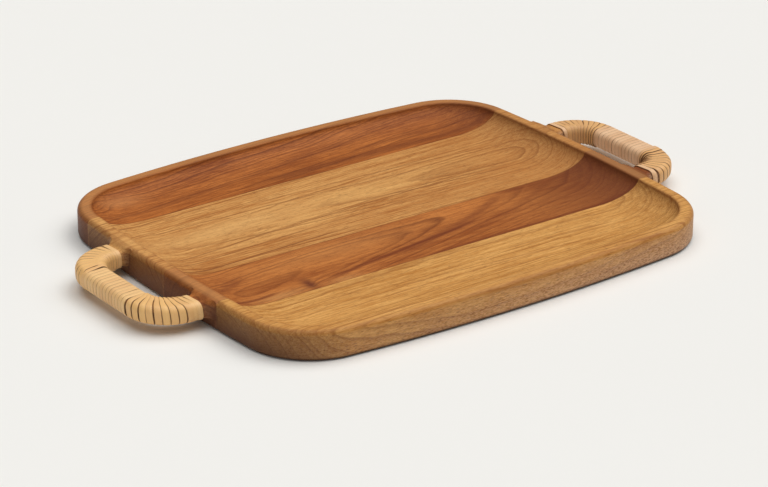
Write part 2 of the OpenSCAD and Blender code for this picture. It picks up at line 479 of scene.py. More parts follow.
def wood_surface(web, shader, place, grain, colour, rim_share):
    """Sends a stave's colour through its rim, its edges darkened with painted shade, its sides greyed with
    painted sheen and light, a painted contact shadow along its base and its end grain deepened partly with
    painted shade, and sets its gloss and relief.
    """
    edge = web.read("handled_edge")
    side = web.read("outer_side")
    rim = web.read("rim_top")
    ends = web.read("end_grain")
    edge_wear_and_shade = web.group(OILED_WEAR_AND_SHADE, vector=place, edge=edge, gloss=0.5)
    pores = web.times(grain["Pores"], web.add(0.36, web.times(side, 0.3)))
    colour = web.blend(pores, colour, paint(92, 44, 18))
    colour = web.blend(web.times(rim, rim_share), colour, paint(200, 146, 92))
    # Painted shade: the top roundover and the dish lip are darkened towards a deeper brown, in patches; the
    # same mask also makes these edges glossier.
    colour = web.blend(web.times(edge_wear_and_shade["Worn"], 0.42), colour, paint(158, 100, 54))
    # Painted sheen and painted light: the outer sides are greyed towards a pale tan with fine specks, more
    # and more towards the right-hand end.
    speck = web.noise(web.stretch(place, (420.0, 420.0, 1500.0)), detail=2.0)
    sheen_and_specks = web.blend(web.span(speck, 0.42, 0.64), paint(212, 170, 134), paint(150, 106, 78))
    x, _, z = web.split(web.vector("SCALE", place, scale=1 / MM))[:3]
    colour = web.blend(web.times(side, web.span(x, -150.0, 150.0, 0.34, 0.88)), colour, sheen_and_specks)
    # Painted shade: the outer side turns dark brown in its lowest few millimetres, from 3.4 mm down to 1.4
    # mm above the floor, a painted contact shadow along the base.
    colour = web.blend(web.times(side, web.span(z, 3.4, 1.4, 0.0, 0.8)), colour, paint(52, 32, 22))
    # Darkens the ends and coves: partly the end grain's own darker colour, partly painted shade on the faces
    # that look left.
    colour = web.blend(web.times(ends, 0.9), colour, paint(78, 44, 32))
    web.feed(shader.inputs["Base Color"], colour)
    web.feed(shader.inputs["Roughness"], edge_wear_and_shade["Roughness"])
    shader.inputs["Specular IOR Level"].default_value = 0.12
    web.relief(shader, grain["Height"], 0.35, 0.0003)


def toned(web, grain, light, deep, ring, ring_share, fibre_share, cloud_share):
    """A stave's own colour: light to deep by its fibres and clouds, with its late wood drawn over it."""
    tone = web.add(
        0.5,
        web.times(web.less(grain["Fibres"], 0.5), fibre_share),
        web.times(web.less(grain["Clouds"], 0.5), cloud_share),
    )
    colour = web.blend(web.span(tone, 0.0, 1.0), light, deep)
    return web.blend(web.times(grain["Rings"], ring_share), colour, ring)


def darker_to_right(web, place, colour, tint, start, end, share):
    """Lets a tint come up along the stave's length."""
    x = web.times(web.split(place)[0], 1 / MM)
    return web.blend(web.times(web.span(x, start, end, smooth=True), share), colour, tint)


def back_stave_wood():
    """Reddish brown, with fine slanting streaks, a pale eye and a dark band by the joint."""
    finish, web, shader, place = new_finish("back_stave_wood")
    eye = masks(web, GRAIN_EYE, place, [(-150, 138, 20, 6)])[0]
    grain = web.group(
        PLANK_GRAIN, vector=place, pith_y=70, pith_depth=48, pith_drift=0.10, near_x=40, rise=0.03,
        ring_width=2.6, waver=7, seed=1, push=web.times(eye, -7),
    )
    colour = toned(web, grain, paint(194, 116, 54), paint(142, 73, 28), paint(98, 44, 18), 0.7, 1.0, 0.55)
    bands = masks(web, GRAIN_STREAK, place, [
        (-40, 116, 230, 110, 5, 5, 3),
        (-190, 116, 90, 146, 3, 8, -2),
        (60, 128, 200, 122, 3, 6, 2),
    ])
    for band, share in zip(bands, (0.5, 0.3, 0.3)):
        colour = web.blend(web.times(band, share), colour, paint(106, 52, 28))
    colour = web.blend(web.times(eye, 0.55), colour, paint(196, 132, 78))
    colour = darker_to_right(web, place, colour, paint(140, 74, 34), 60, 190, 0.25)
    line = masks(web, GLUE_LINE, place, [(GLUE_BACK, 0.9)])[0]
    colour = web.blend(web.times(line, 0.6), colour, paint(92, 46, 26))
    wood_surface(web, shader, place, grain, colour, 0.5)
    return finish


def wide_stave_wood():
    """Golden, its rings spreading from a pale middle band to closed loops near the right end."""
    finish, web, shader, place = new_finish("wide_stave_wood")
    eyes = masks(web, GRAIN_EYE, place, [
        (100, 52, 26, 9),
        (-110, 56, 90, 13),
        (30, 56, 60, 12),
    ])
    grain = web.group(
        PLANK_GRAIN, vector=place, pith_y=51, pith_depth=30, pith_drift=0.0, near_x=150, rise=0.05,
        ring_width=2.6, waver=2.5, seed=2,
    )
    calm = web.math("MAXIMUM", web.times(eyes[1], 0.9), web.times(eyes[2], 0.75))
    grain = dict(grain.items())
    grain["Rings"] = web.times(grain["Rings"], web.less(1.0, calm))
    colour = toned(web, grain, paint(228, 172, 102), paint(180, 115, 56), paint(130, 70, 28), 0.9, 1.1, 0.45)
    y = web.times(web.split(place)[1], 1 / MM)
    colour = web.blend(web.span(y, 34.0, 16.0, 0.0, 0.2, smooth=True), colour, paint(176, 104, 46))
    colour = web.blend(web.times(eyes[1], 0.55), colour, paint(232, 182, 114))
    colour = web.blend(web.times(eyes[2], 0.4), colour, paint(228, 176, 106))
    colour = web.blend(web.times(eyes[0], 0.3), colour, paint(160, 98, 48))
    colour = darker_to_right(web, place, colour, paint(184, 122, 64), 0, 190, 0.4)
    threads = masks(web, GRAIN_STREAK, place, [
        (-195, -2, -30, 4, 0.9, 2, 1.5),
        (-190, 12, 60, 22, 0.8, 2, 3),
        (-180, 24, 130, 36, 0.8, 2, 4),
        (-120, 29, 110, 40, 0.7, 2, 3),
        (-170, 78, 90, 66, 0.8, 3, 2),
        (-60, 84, 160, 72, 0.8, 3, 3),
    ])
    for thread, share in zip(threads, (0.75, 0.5, 0.55, 0.45, 0.5, 0.45)):
        colour = web.blend(web.times(thread, share), colour, paint(130, 74, 36))
    lines = masks(web, GLUE_LINE, place, [
        (GLUE_CENTRE, 0.8), (GLUE_BACK, 0.4)
    ])
    for line in lines:
        colour = web.blend(web.times(line, 0.55), colour, paint(120, 66, 34))
    wood_surface(web, shader, place, grain, colour, 0.1)
    return finish


def middle_stave_wood():
    """Reddish brown, with an arched figure, dark streaks, a knot and pale sapwood by its joint."""
    finish, web, shader, place = new_finish("middle_stave_wood")
    knot = masks(web, GRAIN_EYE, place, [(-112, -62, 4.5, 10)])[0]
    grain = web.group(
        PLANK_GRAIN, vector=place, pith_y=-27, pith_depth=16, pith_drift=0.14, near_x=-150, rise=0.085,
        ring_width=3.6, waver=5, seed=3, push=web.times(knot, -2.5),
    )
    colour = toned(web, grain, paint(202, 126, 62), paint(150, 80, 34), paint(104, 46, 20), 0.68, 0.95, 0.5)
    pale = masks(web, GRAIN_EYE, place, [
        (-140, -68, 22, 6),
        (-86, -70, 14, 5),
        (-60, -22, 70, 14),
    ])
    for patch, share in zip(pale, (0.6, 0.5, 0.25)):
        colour = web.blend(web.times(patch, share), colour, paint(206, 148, 88))
    colour = darker_to_right(web, place, colour, paint(112, 56, 30), 50, 185, 0.75)
    streaks = masks(web, GRAIN_STREAK, place, [
        (-95, -64, 60, -40, 2.2, 2, 1),
        (-30, -54, 100, -12, 5, 4, -7),
        (40, -52, 150, -10, 4, 6, -6),
        (-190, -69, -140, -62, 1.8, 1, 1),
        (-20, -72, 200, -71, 1.8, 1, 0.5),
        (-205, -64, -150, -30, 5, 8, 4),
    ])
    for streak, share in zip(streaks, (0.72, 0.45, 0.25, 0.7, 0.65, 0.4)):
        colour = web.blend(web.times(streak, share), colour, paint(112, 50, 26))
    colour = web.blend(web.times(knot, 0.85), colour, paint(98, 46, 30))
    lines = masks(web, GLUE_LINE, place, [
        (GLUE_FRONT, 0.9), (GLUE_CENTRE, 0.6)
    ])
    for line in lines:
        colour = web.blend(web.times(line, 0.6), colour, paint(92, 44, 26))
    wood_surface(web, shader, place, grain, colour, 0.45)
    return finish


def front_stave_wood():
    """Golden and straight-grained, with fine short dark dashes."""
    finish, web, shader, place = new_finish("front_stave_wood")
    grain = web.group(
        PLANK_GRAIN, vector=place, pith_y=-70, pith_depth=52, pith_drift=0.0, near_x=-10, rise=-0.015,
        ring_width=3.0, waver=3, seed=5,
    )
    colour = toned(web, grain, paint(231, 175, 101), paint(187, 125, 58), paint(142, 84, 36), 0.7, 1.1, 0.35)
    lines = masks(web, GRAIN_STREAK, place, [
        (-170, -97, -80, -92, 0.8, 2, 1),
        (-120, -112, 40, -113, 0.8, 2, 0.5),
        (40, -95, 130, -101, 0.9, 2, 1),
        (-60, -103, 110, -118, 0.8, 2, 1),
    ])
    for line in lines:
        colour = web.blend(web.times(line, 0.4), colour, paint(150, 92, 46))
    line = masks(web, GLUE_LINE, place, [(GLUE_FRONT, 0.5)])[0]
    colour = web.blend(web.times(line, 0.5), colour, paint(110, 60, 32))
    wood_surface(web, shader, place, grain, colour, 0.1)
    return finish


# ---- The glued blank ----

END_STEPS = 36
CORNER_STEPS = 56
SIDE_STEPS = 40
EDGE_STEPS = 10
LIP_STEPS = 6
COVE_STEPS = 34
RIM_STEPS = 3


def corner_centre(inset, r):
    """Centre of a corner of radius r that touches a long side and an end, both set in by inset."""
    a = SIDE_R - inset - r
    b = END_R - inset - r
    apart = END_CENTRE - SIDE_CENTRE
    gap = np.hypot(*apart)
    along = (a * a - b * b + gap * gap) / (2 * gap)
    off = math.sqrt(a * a - along * along)
    u = apart / gap
    return SIDE_CENTRE + along * u + off * np.array([u[1], -u[0]])


def arc(centre, r, start, end, steps, closed=False):
    angles = np.linspace(start, end, steps + 1)
    if not closed:
        angles = angles[:-1]
    return np.stack([centre[0] + r * np.cos(angles), centre[1] + r * np.sin(angles)], axis=1)


def outline(inset, r):
    """The board's outline set in by inset, anticlockwise from the right-hand end's middle."""
    c = corner_centre(inset, r)
    a_end = math.atan2(*(c - END_CENTRE)[::-1])
    a_side = math.atan2(*(c - SIDE_CENTRE)[::-1])
    quarter = np.concatenate([
        arc(END_CENTRE, END_R - inset, 0, a_end, END_STEPS),
        arc(c, r, a_end, a_side, CORNER_STEPS),
        arc(SIDE_CENTRE, SIDE_R - inset, a_side, math.pi / 2, SIDE_STEPS, closed=True),
    ])
    return np.concatenate([
        quarter,
        quarter[-2::-1] * [-1, 1],
        quarter[1:] * [-1, -1],
        quarter[-2:0:-1] * [1, -1],
    ])


def ring(inset, r, z):
    flat = outline(inset, r)
    return np.column_stack([flat, np.full(len(flat), z)])


def board_rings():
    """Rings of the board from its underside, up its edge, over the rim and down into the dish."""
    rings = []
    for a in np.linspace(0, math.pi / 2, EDGE_STEPS + 1):
        inset = BASE_ROUND * (1 - math.sin(a))
        rings.append(ring(inset, CORNER_R - inset, BASE_ROUND * (1 - math.cos(a))))
    for a in np.linspace(0, math.pi / 2, EDGE_STEPS + 1):
        inset = TOP_ROUND * (1 - math.cos(a))
        rings.append(ring(inset, CORNER_R - inset, BOARD_T - TOP_ROUND * (1 - math.sin(a))))
    lip_edge = LIP_INSET - LIP_ROUND
    for inset in np.linspace(TOP_ROUND, lip_edge, RIM_STEPS + 2)[1:-1]:
        rings.append(ring(inset, CORNER_R - inset, BOARD_T))
    for a in np.linspace(0, math.pi / 2, LIP_STEPS + 1)[:-1]:
        inset = LIP_INSET - LIP_ROUND * (1 - math.sin(a))
        rings.append(ring(inset, CORNER_R - inset, BOARD_T - LIP_ROUND * (1 - math.cos(a))))
    for a in np.linspace(LIP_START, math.pi / 2, COVE_STEPS + 1):
        fall = 1 - math.cos(a)
        r = DISH_CORNER_R + (FLOOR_CORNER_R - DISH_CORNER_R) * fall
        rings.append(ring(RIM_W + COVE_W * fall, r, BOARD_T - DISH_DEPTH * math.sin(a)))
    return rings


def skin(name, rings):
    """A closed object stretched over rings of equal counts of points, each given in millimetres."""
    count = len(rings[0])
    i = np.arange(count)
    j = (i + 1) % count
    faces = [list(i[::-1])]
    for k in range(len(rings) - 1):
        a = k * count
        faces += np.stack([a + i, a + j, a + j + count, a + i + count], axis=1).tolist()
    faces.append(list((len(rings) - 1) * count + i))
    mesh = bpy.data.meshes.new(name)
    mesh.from_pydata((np.concatenate(rings) * MM).tolist(), [], [[int(v) for v in f] for f in faces])
    mesh.update()
    made = placed(name, mesh)
    return made


def route(s):
    """Place and heading, in radians, at a distance s along the right-hand grip's middle line."""
    back = min(max(s - NECK_L, 0), BEND_L) / BEND_R
    bar = min(max(s - NECK_L - BEND_L, 0), BAR_L)
    front = min(max(s - NECK_L - BEND_L - BAR_L, 0), BEND_L) / BEND_R
    home = max(s - ROUTE_L + NECK_L, 0)
    x = NECK_X + min(s, NECK_L) + BEND_R * (math.sin(back) - 1 + math.cos(front)) - home
    y = NECK_Y - BEND_R * (1 - math.cos(back) + math.sin(front)) - bar
    return x, y, -back - front


def flare(s, r):
    """How far a fillet of radius r still stands out at a distance s from the board."""
    d = max(min(s, ROUTE_L - s), 0)
    return 0 if d >= r else r - math.sqrt(r * r - (r - d) ** 2)


def swell(s):
    """How much higher the grip's top still is at a distance s from the board."""
    d = min(max(min(s, ROUTE_L - s), 0) / INNER_FILLET, 1)
    return NECK_SWELL * (1 - d * d * (3 - 2 * d))


def on_grip(s, n, z):
    x, y, heading = route(s)
    return [x - n * math.sin(heading), y + n * math.cos(heading), GRIP_RISE + z]


def grip_ring(s, corner_steps=9):
    """The grip's rounded section at s, from the bottom's inner edge outwards and round."""
    inner = GRIP_W / 2 + flare(s, INNER_FILLET) - GRIP_ROUND
    outer = GRIP_W / 2 + flare(s, OUTER_FILLET) - GRIP_ROUND
    low = GRIP_H / 2 - GRIP_ROUND
    tall = low + swell(s)
    corners = [(-inner, -low), (outer, -low), (outer, tall), (-inner, tall)]
    points = []
    for k, (n, z) in enumerate(corners):
        for a in np.linspace(0, math.pi / 2, corner_steps) + math.pi * (1 + k / 2):
            points.append(on_grip(s, n + GRIP_ROUND * math.cos(a), z + GRIP_ROUND * math.sin(a)))
    return np.array(points)


def grip_rings():
    fillet = OUTER_FILLET * (1 - np.cos(np.linspace(0, math.pi / 2, 15)))
    bend = np.linspace(NECK_L, NECK_L + BEND_L, 31)
    half = [-ROOT_L, -ROOT_L / 2] + [s for s in fillet if s < NECK_L] + list(bend)
    bar = list(np.linspace(NECK_L + BEND_L, ROUTE_L - NECK_L - BEND_L, 9)[1:-1])
    return [grip_ring(s) for s in half + bar + [ROUTE_L - s for s in reversed(half)]]


def half_round(rings):
    """The same rings turned half round about the tray's middle."""
    return [r * [-1, -1, 1] for r in rings]


def combined(target, other, operation):
    """Joins or cuts target by other, leaves the result as target's own mesh and clears other away."""
    step = target.modifiers.new("joint", "BOOLEAN")
    step.operation = operation
    step.solver = "MANIFOLD"
    step.object = other
    view = bpy.context.evaluated_depsgraph_get()
    view.update()
    result = bpy.data.meshes.new_from_object(target.evaluated_get(view))
    target.modifiers.clear()
    target.data = result
    bpy.data.objects.remove(other)
    return target


def sawn_box(y_from, y_to):
    """A block that takes in the whole tray between two glue lines."""
    reach = 2 * HALF_L
    flat = np.array([[-reach, y_from], [reach, y_from], [reach, y_to], [-reach, y_to]])
    return skin("saw", [np.column_stack([flat, np.full(4, z)]) for z in (-50.0, 80.0)])


def inset_of(points):
    """How far in from the board's outline each place lies, seen from above."""
    flat = np.abs(points[:, :2])
    to_end = END_R - np.hypot(*(flat - END_CENTRE).T)
    to_side = SIDE_R - np.hypot(*(flat - SIDE_CENTRE).T)
    centre = corner_centre(0, CORNER_R)
    off = flat - centre
    a_end = math.atan2(*(centre - END_CENTRE)[::-1])
    a_side = math.atan2(*(centre - SIDE_CENTRE)[::-1])
    angle = np.arctan2(off[:, 1], off[:, 0])
    in_corner = (angle > a_end) & (angle < a_side) & (np.hypot(*off.T) > 5)
    return np.where(in_corner, CORNER_R - np.hypot(*off.T), np.minimum(to_end, to_side))


def mark_surface(mesh):
    """Stores how rounded-over and how far down the outer side each point is, for the wood's finish and the
    shade painted into it.
    """
    points = np.empty(len(mesh.vertices) * 3, np.float32)
    mesh.vertices.foreach_get("co", points)
    points = points.reshape(-1, 3).astype(float) / MM
    inset = inset_of(points)
    z = points[:, 2]
    top_edge = np.clip(1 - np.hypot(inset - 1.2, z - BOARD_T + 1.2) / 3.4, 0, 1) * 1.6
    lip = np.clip(1 - np.hypot(inset - LIP_INSET + 0.4, z - BOARD_T + 0.4) / 2.4, 0, 1) * 1.4
    edge = np.clip(np.maximum(top_edge, lip), 0, 1)
    side = np.clip((BOARD_T - TOP_ROUND * 0.7 - z) / 3.0, 0, 1) * (inset < BASE_ROUND + 0.5)
    on_rim = (inset < LIP_INSET) & (z > BOARD_T - TOP_ROUND * 0.5)
    rim = np.clip(1 - np.abs(inset - LIP_INSET / 2) / (LIP_INSET / 2), 0, 0.4) / 0.4 * on_rim
    normals = np.array([v.normal[0] for v in mesh.vertices])
    # End grain is darker on faces across the length, but faces that look left, away from the key light, get
    # it far stronger than faces that look right: that difference is painted shade.
    ends = np.abs(normals) ** 0.8 * np.where(normals < 0, 0.45 + 0.55 * side, 0.2)
    marks = (("handled_edge", edge), ("outer_side", side), ("rim_top", rim), ("end_grain", ends))
    for name, values in marks:
        store = mesh.attributes.new(name, "FLOAT", "POINT")
        store.data.foreach_set("value", values.astype(np.float32))


def staves():
    """The blank, joined to its two grips and sawn back into its four staves."""
    blank = skin("blank", board_rings())
    rings = grip_rings()
    combined(blank, skin("right_grip", rings), "UNION")
    combined(blank, skin("left_grip", half_round(rings)), "UNION")
    cuts = {
        "back_stave": (GLUE_BACK, 300.0),
        "wide_stave": (GLUE_CENTRE, GLUE_BACK),
        "middle_stave": (GLUE_FRONT, GLUE_CENTRE),
        "front_stave": (-300.0, GLUE_FRONT),
    }
    made = {}
    for name, (y_from, y_to) in cuts.items():
        piece = bpy.data.objects.new(name + "_wood", blank.data.copy())
        bpy.context.scene.collection.objects.link(piece)
        combined(piece, sawn_box(y_from, y_to), "INTERSECT")
        piece.data.name = piece.name
        mark_surface(piece.data)
        piece.data.shade_smooth()
        piece.data.set_sharp_from_angle(angle=math.radians(35))
        made[name] = piece
    bpy.data.objects.remove(blank)
    return made


def finish_staves():
    woods = {
        "back_stave": (back_stave_wood, "reddish_wood"),
        "wide_stave": (wide_stave_wood, "golden_wood"),
        "middle_stave": (middle_stave_wood, "reddish_wood"),
        "front_stave": (front_stave_wood, "golden_wood"),
    }
    for name, piece in staves().items():
        wood, slot = woods[name]
        piece.data.materials.clear()
        piece.data.materials.append(wood())
        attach(piece, "root")
        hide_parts(name)


# ---- Cane ----

def walk(web, distance, legs, turn):
    """Nodes that walk straight runs and quarter bends: the place reached, and how far it has turned.

    Each leg is a run's length and the radius of the quarter bend that follows it."""
    place = (0.0, 0.0, 0.0)
    turned = 0.0
    start = 0.0
    ahead = Vector((1, 0, 0))
    for run, radius in legs:
        step = web.math("MINIMUM", web.math("MAXIMUM", web.less(distance, start), 0.0), run)
        place = web.vector("ADD", place, web.vector("SCALE", ahead, scale=step))
        start = web.add(start, run)
        if radius is not None:
            side = Vector((-ahead.y, ahead.x, 0)) * turn
            swing = web.over(web.math("MAXIMUM", web.less(distance, start), 0.0), radius)
            swing = web.math("MINIMUM", swing, math.pi / 2)
            forward = web.times(radius, web.math("SINE", swing))
            aside = web.times(radius, web.less(1.0, web.math("COSINE", swing)))
            place = web.vector("ADD", place, web.vector("SCALE", ahead, scale=forward))
            place = web.vector("ADD", place, web.vector("SCALE", side, scale=aside))
            turned = web.add(turned, swing)
            start = web.add(start, web.times(radius, math.pi / 2))
            ahead = side
    return place, turned


def wound_cane():
    """Geometry nodes: one flat strip of cane wound along a bent grip, from neck to neck, in millimetres."""
    web, given, result = new_group(
        "wound_cane",
        "GeometryNodeTree",
        {
            "Geometry": ("Geometry", None),
            "Turns": 30.0,
            "Pitch": 4.0,
            "First Turn": 8.0,
            "Strip Width": 5.0,
            "Strip Thickness": 1.0,
            "Clearance": 0.1,
            "Grip Width": 20.0,
            "Grip Height": 12.0,
            "Grip Round": 4.0,
            "Bend Radius": 25.0,
            "Neck Length": 12.0,
            "Outer Fillet": 10.0,
            "Inner Fillet": 6.0,
            "Neck Swell": 2.0,
            "Bar Length": 58.0,
            "Steps Per Turn": ("Int", 64),
            "Lap Place": 100.0,
            "Lap Lift": 0.0,
            "Slant": 0.0,
            "Looseness": 0.15,
            "Seed": 0.0,
            "Start": ("Vector", (0.0, 0.0, 0.0)),
            "Finish": ("Material", None),
        },
        {"Geometry": ("Geometry", None)},
    )
    strip = web.node("GeometryNodeMeshCylinder", fill_type="NGON")
    steps = web.times(given["Turns"], given["Steps Per Turn"])
    strip.inputs["Vertices"].default_value = 12
    web.feed(strip.inputs["Side Segments"], steps)
    strip.inputs["Radius"].default_value = 1.0
    strip.inputs["Depth"].default_value = 1.0

    raw_x, raw_y, raw_z = web.split(web.node("GeometryNodeInputPosition").outputs[0])[:3]
    turn = web.times(web.add(raw_z, 0.5), given["Turns"])
    share = web.math("FRACT", turn)
    across = web.times(web.math("SIGN", raw_x), web.math("POWER", web.math("ABSOLUTE", raw_x), 0.4))
    up = web.times(web.math("SIGN", raw_y), web.math("POWER", web.math("ABSOLUTE", raw_y), 0.7))
    up = web.times(web.add(up, 1.0), 0.5)

    def drift(rate, offset):
        phase = web.add(web.times(turn, rate), web.times(given["Seed"], 17.3), offset)
        return web.less(web.noise_line(phase, detail=1.0), 0.5)

    # Where the strip's middle crosses the grip's section
    flat = web.less(given["Grip Width"], web.times(given["Grip Round"], 2.0))
    tall = web.less(given["Grip Height"], web.times(given["Grip Round"], 2.0))
    round_r = given["Grip Round"]
    girth = web.times(web.add(flat, tall, web.times(round_r, math.pi)), 2.0)
    legs = [(flat, round_r), (tall, round_r), (flat, round_r), (tall, round_r)]
    crossing, rolled = walk(web, web.times(share, girth), legs, 1)
    cross_n, cross_z = web.split(crossing)[:2]
    cross_n = web.less(cross_n, web.times(flat, 0.5))
    cross_z = web.less(cross_z, web.times(given["Grip Height"], 0.5))
    out_n = web.math("SINE", rolled)
    out_z = web.times(web.math("COSINE", rolled), -1.0)

    # How strongly the grip bends here, 0 on its straights and 1 on its bends
    middle = web.add(given["First Turn"], web.times(turn, given["Pitch"]))
    bend_length = web.times(given["Bend Radius"], math.pi / 2)
    half_route = web.add(given["Neck Length"], bend_length, web.times(given["Bar Length"], 0.5))
    from_middle = web.math("ABSOLUTE", web.less(middle, half_route))
    from_bend = web.less(from_middle, web.times(given["Bar Length"], 0.5))
    bent = web.math(
        "MINIMUM",
        web.span(from_bend, -3.0, 4.0, smooth=True),
        web.span(web.less(from_bend, bend_length), 3.0, -4.0, smooth=True),
    )
    reach = web.over(web.times(cross_n, bent), given["Bend Radius"])
    crowd = web.span(web.times(reach, -1.0), 0.05, 0.36, smooth=True)

    # Half width: full width spread out on the outside of a bend, lapped on its inside
    full = web.over(web.times(given["Strip Width"], 0.5), web.add(reach, 1.0))
    snug = web.times(web.less(given["Pitch"], 0.1), 0.5)
    half = web.math("MINIMUM", web.add(snug, web.times(crowd, given["Pitch"], 0.3)), full)
    half = web.times(half, web.add(1.0, web.times(drift(0.9, 3.0), given["Looseness"], 0.35)))
    lapped = web.times(crowd, given["Strip Thickness"], web.add(web.times(across, 0.75), 0.55))
    ride_up = web.times(web.span(middle, web.add(given["Lap Place"], -2.4), web.add(given["Lap Place"], 1.6),
                                 smooth=True), given["Lap Lift"])
    ride_up = web.times(ride_up, web.span(middle, web.add(given["Lap Place"], 16.0),
                                          web.add(given["Lap Place"], 2.0), smooth=True))
    ride_up = web.times(ride_up, web.span(out_n, 0.2, 0.8, 1.0, 0.0, smooth=True))
    lift = web.add(
        given["Clearance"],
        web.times(up, given["Strip Thickness"]),
        lapped,
        ride_up,
        web.times(web.add(drift(1.3, 31.0), 0.5), CANE_PLAY),
    )
    slant = web.times(given["Slant"], web.over(cross_n, given["Grip Width"]), bent)
    place_s = web.add(
        middle,
        web.times(across, half),
        slant,
        web.times(drift(1.1, 57.0), given["Looseness"], 2.2),
    )
    from_board = web.less(half_route, web.math("ABSOLUTE", web.less(place_s, half_route)))

    def fillet(radius):
        left = web.math("MAXIMUM", web.less(radius, web.math("MAXIMUM", from_board, 0.0)), 0.0)
        squared = web.less(web.times(radius, radius), web.times(left, left))
        return web.less(radius, web.math("SQRT", squared))

    outward = web.span(cross_n, web.times(flat, -0.5), web.times(flat, 0.5))
    upward = web.span(cross_z, web.times(tall, -0.5), web.times(tall, 0.5))
    widened = web.less(
        web.times(fillet(given["Outer Fillet"]), outward),
        web.times(fillet(given["Inner Fillet"]), web.less(1.0, outward)),
    )
    eased = web.span(web.over(from_board, given["Inner Fillet"]), 0.0, 1.0, 1.0, 0.0, smooth=True)
    section_n = web.add(cross_n, widened, web.times(out_n, lift))
    section_z = web.add(cross_z, web.times(eased, upward, given["Neck Swell"]), web.times(out_z, lift))

    route_legs = [
        (given["Neck Length"], given["Bend Radius"]),
        (given["Bar Length"], given["Bend Radius"]),
        (given["Neck Length"], None),
    ]
    spot, swung = walk(web, place_s, route_legs, -1)
    aside = web.join(web.math("SINE", swung), web.math("COSINE", swung), 0.0)
    spot = web.vector("ADD", spot, web.vector("SCALE", aside, scale=section_n))
    spot = web.vector("ADD", spot, web.join(0.0, 0.0, section_z))
    spot = web.vector("ADD", spot, given["Start"])

    kept = strip.outputs["Mesh"]
    for name, value in (
        ("cane_turn", turn), ("cane_across", across), ("cane_bent", bent),
        ("cane_run", web.times(turn, girth)), ("cane_up", up),
    ):
        store = web.node("GeometryNodeStoreNamedAttribute", data_type="FLOAT", domain="POINT")
        web.feed(store.inputs["Geometry"], kept)
        store.inputs["Name"].default_value = name
        web.feed(store.inputs["Value"], value)
        kept = store.outputs[0]
    # The named values are read before the strip is bent, so its place is set last
    move = web.node("GeometryNodeSetPosition")
    web.feed(move.inputs["Geometry"], kept)
    web.feed(move.inputs["Position"], web.vector("SCALE", spot, scale=MM))
    smooth = web.node("GeometryNodeSetShadeSmooth")
    web.feed(smooth.inputs[0], move.outputs[0])
    web.coat(smooth.outputs[0], given["Finish"], result[0])
    return web.tree


def grown(name, tree, values, start=None):
    """What a geometry tree grows on a start mesh, as a plain mesh object with nothing left to evaluate."""
    seedling = placed(name + "_start", start or bpy.data.meshes.new(name + "_start"))
    step = seedling.modifiers.new("grow", "NODES")
    step.node_group = tree
    sockets = {s.name: s.identifier for s in tree.interface.items_tree if s.in_out == "INPUT"}
    for label, value in values.items():
        step[sockets[label]] = value
    view = bpy.context.evaluated_depsgraph_get()
    view.update()
    mesh = bpy.data.meshes.new_from_object(seedling.evaluated_get(view))
    bpy.data.objects.remove(seedling)
    mesh.name = name
    made = placed(name, mesh)
    return made


def volume_of(mesh):
    """Signed volume in cubic metres; it is negative when the faces point inwards."""
    mesh.calc_loop_triangles()
    points = np.array([v.co for v in mesh.vertices])
    corners = np.array([t.vertices for t in mesh.loop_triangles])
    a, b, c = (points[corners[:, k]] for k in range(3))
    return float(np.einsum("ij,ij->i", a, np.cross(b, c)).sum() / 6)


def cane_finish(name, straight, bend, deep, seed):
    """Peeled cane: fine lengthwise fibres, each turn its own tint, darker edges with painted shade in the
    gaps between turns, and a waxy sheen.
    """
    finish, web, shader, place = new_finish(name)

    across = web.read("cane_across")
    run = web.read("cane_run")
    turn = web.read("cane_turn")
    lengthwise = web.join(web.times(run, 0.05), web.times(across, 5.0), web.add(turn, seed))
    fibres = web.noise(lengthwise, detail=3.0, roughness=0.65)
    each = web.noise_line(web.add(web.times(web.math("FLOOR", web.add(turn, 0.1)), 5.3), seed), detail=0.0)
    flecks = web.noise(web.stretch(place, (1400.0, 1400.0, 900.0)), detail=1.0)
    colour = web.blend(web.read("cane_bent"), straight, bend)
    colour = web.blend(web.span(each, 0.25, 0.75, 0.0, 0.5), colour, deep)
    colour = web.blend(web.span(fibres, 0.42, 0.75, 0.0, 0.55), colour, deep)
    colour = web.blend(web.span(flecks, 0.66, 0.76, 0.0, 0.3), colour, paint(146, 96, 52))
    # Painted shade in the gaps between turns: the strip's edges darken, more on the bends where the turns
    # lap, and its underside and thickness darken where they show between turns; the edges' darkening is
    # partly the cut cane's own darker colour.
    edge = web.span(web.math("ABSOLUTE", across), 0.8, 1.0, 0.0, 0.9)
    edge = web.times(edge, web.add(0.55, web.times(web.read("cane_bent"), 0.45)))
    low = web.span(web.read("cane_up"), 0.7, 0.2, 0.0, 0.95)
    colour = web.blend(web.math("MAXIMUM", edge, low), colour, paint(104, 60, 30))
    web.feed(shader.inputs["Base Color"], colour)
    web.feed(shader.inputs["Roughness"], web.span(fibres, 0.3, 0.8, 0.42, 0.62))
    web.relief(shader, fibres, 0.4, 0.0002)
    return finish


def right_cane_finish():
    pale, golden, deep = paint(244, 204, 162), paint(234, 182, 116), paint(212, 158, 108)
    return cane_finish("right_wrap_cane", pale, golden, deep, 3.0)


def left_cane_finish():
    pale, golden, deep = paint(250, 206, 142), paint(244, 194, 122), paint(226, 172, 114)
    return cane_finish("left_wrap_cane", pale, golden, deep, 41.0)


def wound_from(bare):
    """Pitch of the winding and place of its first turn, when it starts and ends that far from the board."""
    pitch = (ROUTE_L - 2 * bare) / (TURNS + 1 + FLAT_SHARE)
    return pitch, bare + pitch / 2


